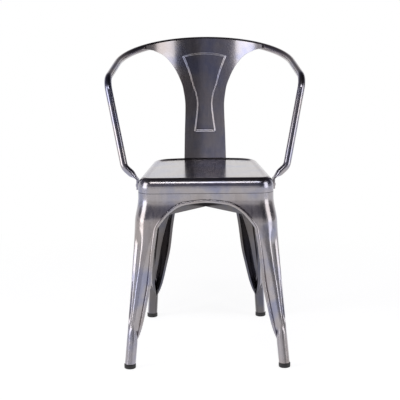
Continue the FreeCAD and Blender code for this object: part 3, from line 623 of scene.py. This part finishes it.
def legSkin(rear):
    # the whole pressing as one grid: apron rows on top, channel rows, foot rows
    leg = legPressing
    lead = archColumnShares(rear, False)
    trail = list(reversed(archColumnShares(rear, True)))
    sample = sectionColumns(rear, leg["legTop"])
    columns = len(lead) + len(sample) + len(trail)
    ledge, inset = leg["ledgeTop"], leg["flangeInset"]
    topRows = [(leg["flangeTop"], inset), (ledge + leg["ledgeSoft"], inset), (ledge, inset - leg["ledgeStep"]),
               (ledge, leg["ledgeStep"]), (ledge - leg["ledgeDrop"], 0.0), (leg["ledgeBottom"], 0.0)]
    apronRows = leg["apronRows"]
    channel = [mix(leg["legTop"], leg["tubeTop"], (row + 1) / leg["channelRows"]) for row in range(leg["channelRows"])]
    foot = [mix(leg["tubeTop"], leg["tubeBottom"], (row + 1) / leg["footRows"]) for row in range(leg["footRows"])]
    below = channel + foot
    rows = len(topRows) + apronRows + len(below)
    cutAway = -1000.0          # height of the points under the arches, which are deleted
    cache = {}

    def section(z, inset=0.0):
        if (z, inset) not in cache:
            cache[(z, inset)] = sectionColumns(rear, z, inset)
        return cache[(z, inset)]

    def place(column, row):
        row = rows - 1 - row
        inLead = column < len(lead)
        inTrail = column >= len(lead) + len(sample)
        if row < len(topRows):
            z, inset = topRows[row]
            share = 0.0
        elif row < len(topRows) + apronRows:
            share = (row - len(topRows) + 1) / apronRows
            z, inset = None, 0.0
        else:
            z = below[row - len(topRows) - apronRows]
            share = None
        if inLead or inTrail:
            q, low = lead[column] if inLead else trail[column - len(lead) - len(sample)]
            if share is None:
                return Vector((0, 0, cutAway))
            height = z if z is not None else mix(leg["ledgeBottom"], low, share)
            return apronPoint(rear, inTrail, q, height, inset)
        if z is None:
            z = mix(leg["ledgeBottom"], leg["legTop"], share)
        return section(z, inset if share is not None else 0.0)[column - len(lead)]

    bm = formGrid(columns, rows, place)
    bmesh.ops.delete(bm, geom=[v for v in bm.verts if v.co.z < cutAway / 2.0], context="VERTS")
    return bm


def legRolls(bm, rear):
    # rolled edges along both arches and down both webs
    leg = legPressing
    depth, archRadius = legSection["rollDepth"][-1][1], legSection["rollRadius"][-1][1]
    for side in (False, True):
        middle = archHalf(rear, side)[1]
        stations = []
        for distance, z in archRoll(rear, side):
            if side:
                y = middle + distance * (1.0 if rear else -1.0)
                point = Vector((sideX(y, z) - depth, y, z))
            elif rear:
                corner = legCorner(True, z)[0]
                skin = webPoint(True, False, (corner.x - distance) / math.cos(rearBowAt(z)), z)
                point = Vector((distance, skin.y - depth, z))
            else:
                point = Vector((distance, legCorner(False, z)[0].y + depth, z))
            stations.append((point, archRadius))
        for row in range(leg["rollRows"]):
            share = mix(1.0, legSection["roll"][0][0], (row + 1) / leg["rollRows"])
            z = mix(leg["tubeTop"], leg["legTop"], share)
            corner, wayA, wayB = legCorner(rear, z)
            along, inwards = (wayB, wayA) if side else (wayA, wayB)
            size = webSize(rear, z)
            point = corner + along * (curveThrough(legSection["roll"], share) * size)
            point += inwards * (curveThrough(legSection["rollDepth"], share) * size)
            stations.append((point, curveThrough(legSection["rollRadius"], share)))
        rings = []
        for index, (point, radius) in enumerate(stations):
            ahead = stations[min(index + 1, len(stations) - 1)][0]
            behind = stations[max(index - 1, 0)][0]
            tangent = (ahead - behind).normalized()
            if index == 0:
                tangent = Vector((0, 1 if rear else -1, 0)) if side else Vector((1, 0, 0))
            across = Vector((1, 0, 0)) if side else Vector((0, 1, 0))
            rings.append(roundRing(point, tangent, across, radius, leg["rollSegments"]))
        sweepRings(bm, rings)


def makeLeg(rear, left):
    leg = legPressing
    bm = legSkin(rear)
    # one smoothing pass below the ledge, which stays sharp
    inner = [v for v in bm.verts if not v.is_boundary and v.co.z < leg["ledgeBottom"] - leg["ledgeGap"]]
    bmesh.ops.smooth_vert(bm, verts=inner, factor=leg["smoothing"], use_axis_x=True, use_axis_y=True, use_axis_z=True)
    turnOutwards(bm, Vector((0, 0, leg["insideHeight"])))
    bmesh.ops.solidify(bm, geom=list(bm.faces), thickness=leg["sheet"])
    legRolls(bm, rear)
    name = cornerName("leg_pressing", rear, left)
    if left:
        mirror(bm)
    piece = finishPiece(name, bm, steelUpright, smoothAngle=38.0)
    if rear:
        # the hollow side, which the sheet turns towards the middle of the chair, is darkened as painted shade
        piece.data.materials.append(steelInsidePaintedShade)
        for polygon in piece.data.polygons:
            if polygon.normal.xy.dot(polygon.center.xy.normalized()) < leg["insideFacing"]:
                polygon.material_index = 1
    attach(piece, "root")
    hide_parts(name.replace("_pressing", ""))


# Cross brace under the seat: two flat bars on edge, half lapped where they cross

braceBar = dict(bottom=347.0, height=18.0, thickness=3.0, lapClearance=0.15)


def makeBrace(upper):
    # outline of the bar with its notch, pulled to its thickness and turned onto the diagonal
    name = "upper" if upper else "lower"
    bar = braceBar
    z = bar["bottom"] + bar["height"] / 2.0
    ends = []
    for rear in (False, True):
        radius = cornerRadius(rear, z)
        centre, out = arcFrame(*legCorner(rear, z), radius)[:2]
        ends.append(centre + out * (radius - legPressing["sheet"]))
    front, rearEnd = ends[0], Vector((-ends[1].x, ends[1].y, z))
    way = rearEnd - front
    length = way.length
    crossing = length * front.x / (front.x - rearEnd.x)
    slot = bar["thickness"] / 2.0 / abs((way / length).x * (way / length).y * 2.0) + bar["lapClearance"]
    notch = bar["height"] / 2.0 * (1.0 if upper else -1.0)
    outline = [(0.0, -notch), (0.0, notch), (crossing - slot, notch), (crossing - slot, 0.0), (crossing + slot, 0.0),
               (crossing + slot, notch), (length, notch), (length, -notch)]
    bm = bmesh.new()
    for vert, place in zip(bmesh.ops.create_circle(bm, cap_ends=True, segments=8, radius=1.0)["verts"], outline):
        vert.co = Vector((place[0], -bar["thickness"] / 2.0, place[1]))
    pulled = bmesh.ops.extrude_face_region(bm, geom=bm.faces[:])["geom"]
    bmesh.ops.translate(bm, vec=(0, bar["thickness"], 0),
                        verts=[part for part in pulled if isinstance(part, bmesh.types.BMVert)])
    turn = Matrix.Rotation(math.atan2(way.y, way.x), 4, "Z")
    bmesh.ops.transform(bm, matrix=Matrix.Translation(front) @ turn, verts=bm.verts)
    if upper:
        mirror(bm)
    piece = finishPiece("brace_flat_%s" % name, bm, steelBracePaintedShade, smoothAngle=30.0)
    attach(piece, "root")
    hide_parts("brace_bar_%s" % name)


# Arms and back rail: one bent tube with flattened ends riveted to the skirt

armTube = dict(
    diameter=17.8,
    railHeight=755.2, railY=237.6, railRadius=222.0, railSlope=14.4, splay=8.0,
    frontY=-72.0, armBend=46.0,
    riserFoot=(195.5, -129.0, 470.0), riserBend=26.0,
    tabY=-135.0, tabTop=441.0, tabBottom=417.0, tabWidth=25.0, tabThickness=4.6, blendLength=22.0,
    tabLevel=405.0,            # where the skin that the tab lies on is measured
    flatSquareness=1.4, segments=28, blendSteps=8, riserBendSteps=10, armBendSteps=16, straightSteps=6, railSteps=30)


def railPoint(angle):
    tube = armTube
    slope = math.radians(tube["railSlope"])
    forward = Vector((0, -math.cos(slope), -math.sin(slope)))
    centre = Vector((0, tube["railY"], tube["railHeight"])) + forward * tube["railRadius"]
    turn = math.radians(angle)
    return centre + (Vector((1, 0, 0)) * math.cos(turn) - forward * math.sin(turn)) * tube["railRadius"]


def tabNormal():
    slope = math.atan2(seatPan["frontHalf"] - seatPan["rearHalf"], seatPan["sideRun"])
    return Vector((math.cos(slope), math.sin(slope), 0))


def tabPlace(z):
    # centre of the flattened end at height z, on the skirt's side
    y = armTube["tabY"]
    return Vector((sideX(y, armTube["tabLevel"]), y, z)) + tabNormal() * (armTube["tabThickness"] / 2.0)


def bendPoints(before, corner, after, radius, steps):
    wayIn, wayOut = (corner - before).normalized(), (after - corner).normalized()
    turn = wayIn.angle(wayOut)
    start = corner - wayIn * (radius * math.tan(turn / 2.0))
    inwards = (wayOut - wayIn * wayIn.dot(wayOut)).normalized()
    centre = start + inwards * radius
    turns = [turn * step / steps for step in range(steps + 1)]
    return [centre + (wayIn * math.sin(turn) - inwards * math.cos(turn)) * radius for turn in turns]


def makeArmTube():
    tube = armTube
    slope, splay = math.radians(tube["railSlope"]), math.radians(tube["splay"])
    start = railPoint(tube["splay"])
    forward = Vector((math.sin(splay), -math.cos(splay) * math.cos(slope), -math.cos(splay) * math.sin(slope)))
    corner = start + forward * ((start.y - tube["frontY"]) / -forward.y)
    foot = Vector(tube["riserFoot"])
    tab = tabPlace(tube["tabTop"])
    upWay = (foot - tab).normalized()
    blendEnd = tab + upWay * tube["blendLength"]
    path = [tabPlace(tube["tabBottom"]), tab]
    flat = [1.0, 1.0]
    for step in range(1, tube["blendSteps"] + 1):
        path.append(tab.lerp(blendEnd, step / tube["blendSteps"]))
        flat.append(1.0 - smooth(step / tube["blendSteps"]))
    path += bendPoints(tab, foot, corner, tube["riserBend"], tube["riserBendSteps"])
    armBend = bendPoints(foot, corner, start, tube["armBend"], tube["armBendSteps"])
    path += between(path[-1], armBend[0], tube["straightSteps"]) + armBend
    path += between(armBend[-1], start, tube["straightSteps"])
    path += [railPoint(mix(tube["splay"], 90.0, step / tube["railSteps"])) for step in range(tube["railSteps"] + 1)]
    flat += [0.0] * (len(path) - len(flat))
    path += [Vector((-p.x, p.y, p.z)) for p in reversed(path[:-1])]
    flat += list(reversed(flat[:-1]))
    rings = []
    side = Vector((0, 0, 1)).cross(tabNormal())
    for index, point in enumerate(path):
        ahead = path[min(index + 1, len(path) - 1)]
        behind = path[max(index - 1, 0)]
        tangent = (ahead - behind).normalized()
        side = (side - tangent * side.dot(tangent)).normalized()
        other = tangent.cross(side)
        normal = tabNormal() if point.x > 0 else Vector((-tabNormal().x, tabNormal().y, 0))
        tabAlong = Vector((0, 0, 1)).cross(normal)
        ring = []
        for step in range(tube["segments"]):
            turn = 2.0 * math.pi * step / tube["segments"]
            out = side * math.cos(turn) + other * math.sin(turn)
            full = out * (tube["diameter"] / 2.0)
            wide = limited(out.dot(tabAlong) * tube["flatSquareness"], -1.0)
            thick = limited(out.dot(normal) * tube["flatSquareness"], -1.0)
            pressed = tabAlong * (wide * tube["tabWidth"] / 2.0) + normal * (thick * tube["tabThickness"] / 2.0)
            ring.append(point + full.lerp(pressed, flat[index]))
        rings.append(ring)
    bm = bmesh.new()
    sweepRings(bm, rings)
    piece = finishPiece("arm_and_back_tube", bm, steelTube, smoothAngle=45.0)
    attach(piece, "root")
    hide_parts("arm_back_tube")


# Rivets with domed heads

rivet = dict(headDiameter=9.0, headHeight=2.2, height=427.0, pitch=11.0, segments=24, rings=12)


def makeRivets():
    bm = bmesh.new()
    normal = tabNormal()
    middle = tabPlace(rivet["height"]) + normal * (armTube["tabThickness"] / 2.0)
    along = Vector((0, 0, 1)).cross(normal)
    turn = normal.to_track_quat("Z", "Y").to_matrix().to_4x4()
    size = Matrix.Diagonal((rivet["headDiameter"] / 2.0, rivet["headDiameter"] / 2.0, rivet["headHeight"], 1.0))
    for way in (-1, 1):
        for mirror in (1, -1):
            made = bmesh.ops.create_uvsphere(bm, u_segments=rivet["segments"], v_segments=rivet["rings"],
                                             radius=1.0)["verts"]
            place = Matrix.Translation(middle + along * (rivet["pitch"] / 2.0 * way))
            bmesh.ops.transform(bm, matrix=place @ turn @ size, verts=made)
            bmesh.ops.scale(bm, vec=(mirror, 1, 1), verts=made)
    piece = finishPiece("rivet_heads", bm, steelTube, smoothAngle=60.0)
    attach(piece, "root")
    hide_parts("arm_rivets")


# Back splat: curved sheet that widens into wings under the rail, with an embossed panel

backSplat = dict(
    sheet=2.0, radius=213.0, lean=9.0, topMargin=4.2, railSink=0.8,
    wingHalf=150.0, wingTip=9.0,
    panelDepth=2.2, panelSoftness=3.0,
    # half widths against the share of the way from the seat to the rail
    side=[(-0.033, 55.0), (0.20, 53.4), (0.442, 51.2), (0.590, 56.5), (0.691, 67.0), (0.793, 83.5), (0.878, 106.0),
          (0.924, 132.0)],
    panelSide=[(0.226, 26.6), (0.34, 21.8), (0.452, 18.7), (0.54, 22.2), (0.626, 31.0), (0.70, 37.0), (0.78, 45.2),
               (0.862, 55.5)],
    panelTopMiddle=0.888,
    # how the mesh runs: rows up the side and round the wing's tip, and where rows start to follow the rail
    wingStart=0.90, sideEase=1.6, tipStart=0.6, railStart=0.6,
    insideY=2000.0, insideHeight=600.0,
    columns=120, rows=200)


def splatHeight(share):
    return mix(seatPan["height"], armTube["railHeight"], share)


def splatBack(x, z, deeper=0.0):
    # y of the splat's front face, on its leaning cylinder
    lean = math.radians(backSplat["lean"])
    way = Vector((0, math.sin(lean), math.cos(lean)))
    out = Vector((0, math.cos(lean), -math.sin(lean)))
    front = Vector((0, armTube["railY"] - armTube["diameter"] / 2.0 - backSplat["sheet"] + backSplat["railSink"],
                    armTube["railHeight"]))
    base = front + out * (math.sqrt((backSplat["radius"] + deeper) ** 2 - x ** 2) - backSplat["radius"])
    return base.y + way.y * (z - base.z) / way.z


def panelDepthAt(x, z):
    # how far the embossed panel is pressed back here
    side = backSplat["panelSide"]
    shoulder, shoulderHalf = side[-1]
    span = armTube["railHeight"] - seatPan["height"]
    share = (z - seatPan["height"]) / span
    top = mix(backSplat["panelTopMiddle"], shoulder, (x / shoulderHalf) ** 2)
    inside = min(curveThrough(side, share) - abs(x), (top - share) * span, (share - side[0][0]) * span)
    return backSplat["panelDepth"] * smooth(inside / backSplat["panelSoftness"] + 0.5)


def makeSplat():
    splat = backSplat
    wingTurn = math.degrees(math.acos(splat["wingHalf"] / armTube["railRadius"]))
    topMiddle = armTube["railHeight"] + armTube["diameter"] / 2.0 - splat["topMargin"]
    tipDrop = railPoint(wingTurn).z - armTube["railHeight"]
    tipTop = topMiddle + tipDrop
    arcRadius = (splat["wingHalf"] ** 2 + tipDrop ** 2) / (2.0 * -tipDrop)
    lowest, highest = splat["side"][0][0], splat["side"][-1][0]
    wingStart, tipStart, railStart = splat["wingStart"], splat["tipStart"], splat["railStart"]

    def sideAt(v):
        # outline of the splat's side: half width and height for v from 0 to 1
        if v <= wingStart:
            t = v / wingStart
            share = mix(lowest, highest, 1.0 - (1.0 - t) ** splat["sideEase"])
            return curveThrough(splat["side"], share), splatHeight(share)
        t = (v - wingStart) / (1.0 - wingStart)
        low = Vector((splat["side"][-1][1], splatHeight(highest)))
        under = Vector((splat["wingHalf"], tipTop - splat["wingTip"]))
        tip = Vector((splat["wingHalf"], tipTop))
        point = low.lerp(under, t / tipStart) if t < tipStart else under.lerp(tip, (t - tipStart) / (1.0 - tipStart))
        return point.x, point.y

    def place(column, row):
        u = 2.0 * column / (splat["columns"] - 1) - 1.0
        v = row / (splat["rows"] - 1)
        half, sideZ = sideAt(v)
        x = u * half
        topZ = topMiddle - (arcRadius - math.sqrt(arcRadius ** 2 - (u * splat["wingHalf"]) ** 2))
        bottom = splatHeight(lowest)
        middleZ = mix(bottom, topMiddle, (sideZ - bottom) / (tipTop - bottom))
        z = mix(middleZ, sideZ, u * u)
        if v > railStart:
            alongRail = mix(middleZ, sideZ, (topMiddle - topZ) / (topMiddle - tipTop))
            z = mix(z, alongRail, (v - railStart) / (1.0 - railStart))
        return Vector((x, splatBack(x, z, panelDepthAt(x, z)), z))

    bm = formGrid(splat["columns"], splat["rows"], place)
    turnOutwards(bm, Vector((0, splat["insideY"], splat["insideHeight"])))
    bmesh.ops.solidify(bm, geom=list(bm.faces), thickness=splat["sheet"])
    piece = finishPiece("splat_pressing", bm, steelSplatPaintedShade, smoothAngle=40.0)
    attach(piece, "root")
    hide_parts("back_splat")


# Rubber plugs in the foot tubes

footPlug = dict(diameter=28.0, height=11.5, rounding=3.0, upperRounding=1.0, segments=48, roundingSteps=5,
                roundingShape=0.5)


def makePlug(rear, left):
    plug = footPlug
    low, high = legCorner(rear, plug["height"]), legCorner(rear, legPressing["tubeTop"])
    middles = [corner + (wayA + wayB) * (legPressing["tubeDiameter"] / 2.0) for corner, wayA, wayB in (low, high)]
    middle = middles[0].lerp(middles[1], -plug["height"] / 2.0 / (legPressing["tubeTop"] - plug["height"]))
    bm = bmesh.new()
    bmesh.ops.create_cone(bm, cap_ends=True, segments=plug["segments"], radius1=plug["diameter"] / 2.0,
                          radius2=plug["diameter"] / 2.0, depth=plug["height"],
                          matrix=Matrix.Translation((middle.x, middle.y, plug["height"] / 2.0)))
    for level, offset in ((0.0, plug["rounding"]), (plug["height"], plug["upperRounding"])):
        rim = [edge for edge in bm.edges if all(abs(vert.co.z - level) < 0.1 for vert in edge.verts)]
        bmesh.ops.bevel(bm, geom=rim, offset=offset, offset_type="OFFSET", affect="EDGES",
                        segments=plug["roundingSteps"], profile=plug["roundingShape"], material=-1)
    if left:
        mirror(bm)
    name = cornerName("plug", rear, left)
    piece = finishPiece(name, bm, rubber, smoothAngle=40.0)
    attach(piece, "root")
    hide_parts(name.replace("plug", "foot"))


makeSeat()
print("seat made")
for rear in (False, True):
    for left in (False, True):
        makeLeg(rear, left)
        makePlug(rear, left)
print("legs and plugs made")
makeBrace(False)
makeBrace(True)
makeArmTube()
makeRivets()
makeSplat()
print("tube, rivets and splat made")


# Camera at the photograph's viewpoint

photoView = dict(place=(-7.4, -3005.5, 900.7), yaw=-0.134, pitch=10.108, roll=-0.527, focalPixels=1207.5,
                 imageWidth=400)

cameraData = bpy.data.cameras.new("camera")
cameraData.lens = cameraData.sensor_width * photoView["focalPixels"] / photoView["imageWidth"]
camera = bpy.data.objects.new("camera", cameraData)
camera.matrix_world = (Matrix.Translation(Vector(photoView["place"]) * millimetre)
                       @ Matrix.Rotation(math.radians(-photoView["yaw"]), 4, "Z")
                       @ Matrix.Rotation(math.radians(90.0 - photoView["pitch"]), 4, "X")
                       @ Matrix.Rotation(math.radians(photoView["roll"]), 4, "Z"))
bpy.context.scene.collection.objects.link(camera)
bpy.context.scene.camera = camera


# Floor, surroundings and lights

studio = dict(
    floorHalf=12.0,            # m
    floorColour="#f2f2f2", floorRoughness=0.9, floorSpecular=0.1,
    shadeStrength=0.56,        # how strongly the floor shows the chair's shadow
    floorLift=0.72,            # what the lamps leave the floor short of white
    shadeNear=0.5, shadeFar=1.5,    # m from the chair, where the shadow fades into plain white
    # what the steel mirrors, from the horizon (0) to straight above (1)
    behind=[(0.0, "#ffffff"), (0.32, "#f6f4f4"), (0.55, "#77757a"), (0.85, "#37363a")],
    infront=[(0.0, "#bcbabe"), (0.05, "#ffffff"), (0.115, "#f6f4f8"), (0.15, "#84848f"), (0.3, "#70707f"),
             (0.5, "#5e5c6c"), (0.75, "#4c4a52"), (0.95, "#333236")],
    wallFrom=0.35, wallTo=0.85,     # how far back a direction points where the room turns into the white wall
    rightShade=0.4,            # the room is darker on the right
    rightFrom=0.02, rightTo=0.16,   # how far right a direction points where that shade sets in
    # name, place, what it is turned to and size in m, power in W
    lamps=[("soft box in front", (-0.6, -6.0, 6.0), (0, 0, 0.5), (5.0, 0.8), 90.0),
           ("soft box left", (-2.5, -1.3, 1.1), (0, 0, 0.6), (1.5, 1.8), 24.0),
           ("soft box right", (2.5, -1.5, 1.1), (0, 0, 0.6), (1.5, 1.8), 20.0)])


def studioWorld():
    # A white wall behind the chair, a dim room above it and behind the camera. The camera sees plain white
    world = bpy.data.worlds.new("studio")
    bpy.context.scene.world = world
    world.use_nodes = True
    tree = world.node_tree
    where = addNode(tree, "ShaderNodeTexCoord")
    parts = addNode(tree, "ShaderNodeSeparateXYZ", {}, {}, {"Vector": (where, "Generated")})
    behind, infront = [addNode(tree, "ShaderNodeValToRGB", {}, {}, {"Fac": (parts, "Z")},
                               [(height, linearFrom(colour)) for height, colour in studio[half]])
                       for half in ("behind", "infront")]
    side = addNode(tree, "ShaderNodeMapRange", {"interpolation_type": "SMOOTHSTEP"},
                   {"From Min": studio["rightFrom"], "From Max": studio["rightTo"], "To Min": 1.0,
                    "To Max": studio["rightShade"]}, {"Value": (parts, "X")})
    shaded = addNode(tree, "ShaderNodeVectorMath", {"operation": "SCALE"}, {},
                     {0: (infront, "Color"), "Scale": (side, "Result")})
    depth = addNode(tree, "ShaderNodeMapRange", {"interpolation_type": "SMOOTHSTEP"},
                    {"From Min": studio["wallFrom"], "From Max": studio["wallTo"]}, {"Value": (parts, "Y")})
    room = addNode(tree, "ShaderNodeMix", {"data_type": "RGBA"}, {},
                   {"Factor": (depth, "Result"), "A": (shaded, "Vector"), "B": (behind, "Color")})
    path = addNode(tree, "ShaderNodeLightPath")
    shown = addNode(tree, "ShaderNodeMix", {"data_type": "RGBA"}, {"B": (1.0, 1.0, 1.0, 1.0)},
                    {"Factor": (path, "Is Camera Ray"), "A": (room, "Result")})
    tree.links.new(shown.outputs["Result"], tree.nodes["Background"].inputs["Color"])


def floorMaterial():
    # Matt white studio paint. The camera and the steel see it as plain white, a little greyer under the chair
    material = bpy.data.materials.new("matt white studio paint")
    material.use_nodes = True
    tree = material.node_tree
    shader = tree.nodes["Principled BSDF"]
    shader.inputs["Base Color"].default_value = linearFrom(studio["floorColour"])
    shader.inputs["Roughness"].default_value = studio["floorRoughness"]
    shader.inputs["Specular IOR Level"].default_value = studio["floorSpecular"]
    shader.inputs["Emission Color"].default_value = (1.0, 1.0, 1.0, 1.0)
    where = addNode(tree, "ShaderNodeTexCoord")
    distance = addNode(tree, "ShaderNodeVectorMath", {"operation": "LENGTH"}, {}, {0: (where, "Object")})
    near = addNode(tree, "ShaderNodeMapRange", {"interpolation_type": "SMOOTHSTEP"},
                   {"From Min": studio["shadeNear"], "From Max": studio["shadeFar"],
                    "To Min": 1.0 - studio["shadeStrength"], "To Max": 1.0}, {"Value": (distance, "Value")})
    path = addNode(tree, "ShaderNodeLightPath")
    seen = addNode(tree, "ShaderNodeMath", {"operation": "MAXIMUM"}, {},
                   {0: (path, "Is Camera Ray"), 1: (path, "Is Glossy Ray")})
    through = addNode(tree, "ShaderNodeMath", {"operation": "MAXIMUM"}, {},
                      {0: (seen, "Value"), 1: (path, "Is Transmission Ray")})
    share = addNode(tree, "ShaderNodeMath", {"operation": "MULTIPLY"}, {},
                    {0: (near, "Result"), 1: (through, "Value")})
    lift = addNode(tree, "ShaderNodeMath", {"operation": "MULTIPLY"}, {1: studio["floorLift"]},
                   {0: (through, "Value")})
    tree.links.new(lift.outputs["Value"], shader.inputs["Emission Strength"])
    white = addNode(tree, "ShaderNodeEmission")
    cover = addNode(tree, "ShaderNodeMixShader", {}, {},
                    {0: (share, "Value"), 1: (shader, "BSDF"), 2: (white, "Emission")})
    tree.links.new(cover.outputs["Shader"], tree.nodes["Material Output"].inputs["Surface"])
    return material


def areaLamp(name, place, target, size, power):
    lamp = bpy.data.lights.new(name, "AREA")
    lamp.shape = "RECTANGLE"
    lamp.size, lamp.size_y = size
    lamp.energy = power
    holder = bpy.data.objects.new(name, lamp)
    holder.location = place
    holder.rotation_euler = (Vector(target) - Vector(place)).to_track_quat("-Z", "Y").to_euler()
    bpy.context.scene.collection.objects.link(holder)


studioWorld()
bm = bmesh.new()
bmesh.ops.create_grid(bm, x_segments=1, y_segments=1, size=studio["floorHalf"])
floorMesh = bpy.data.meshes.new("floor")
bm.to_mesh(floorMesh)
bm.free()
floorMesh.materials.append(floorMaterial())
floor = bpy.data.objects.new("floor", floorMesh)
bpy.context.scene.collection.objects.link(floor)
for lamp in studio["lamps"]:
    areaLamp(*lamp)
print("studio made")

bpy.context.scene.view_settings.view_transform = "Standard"
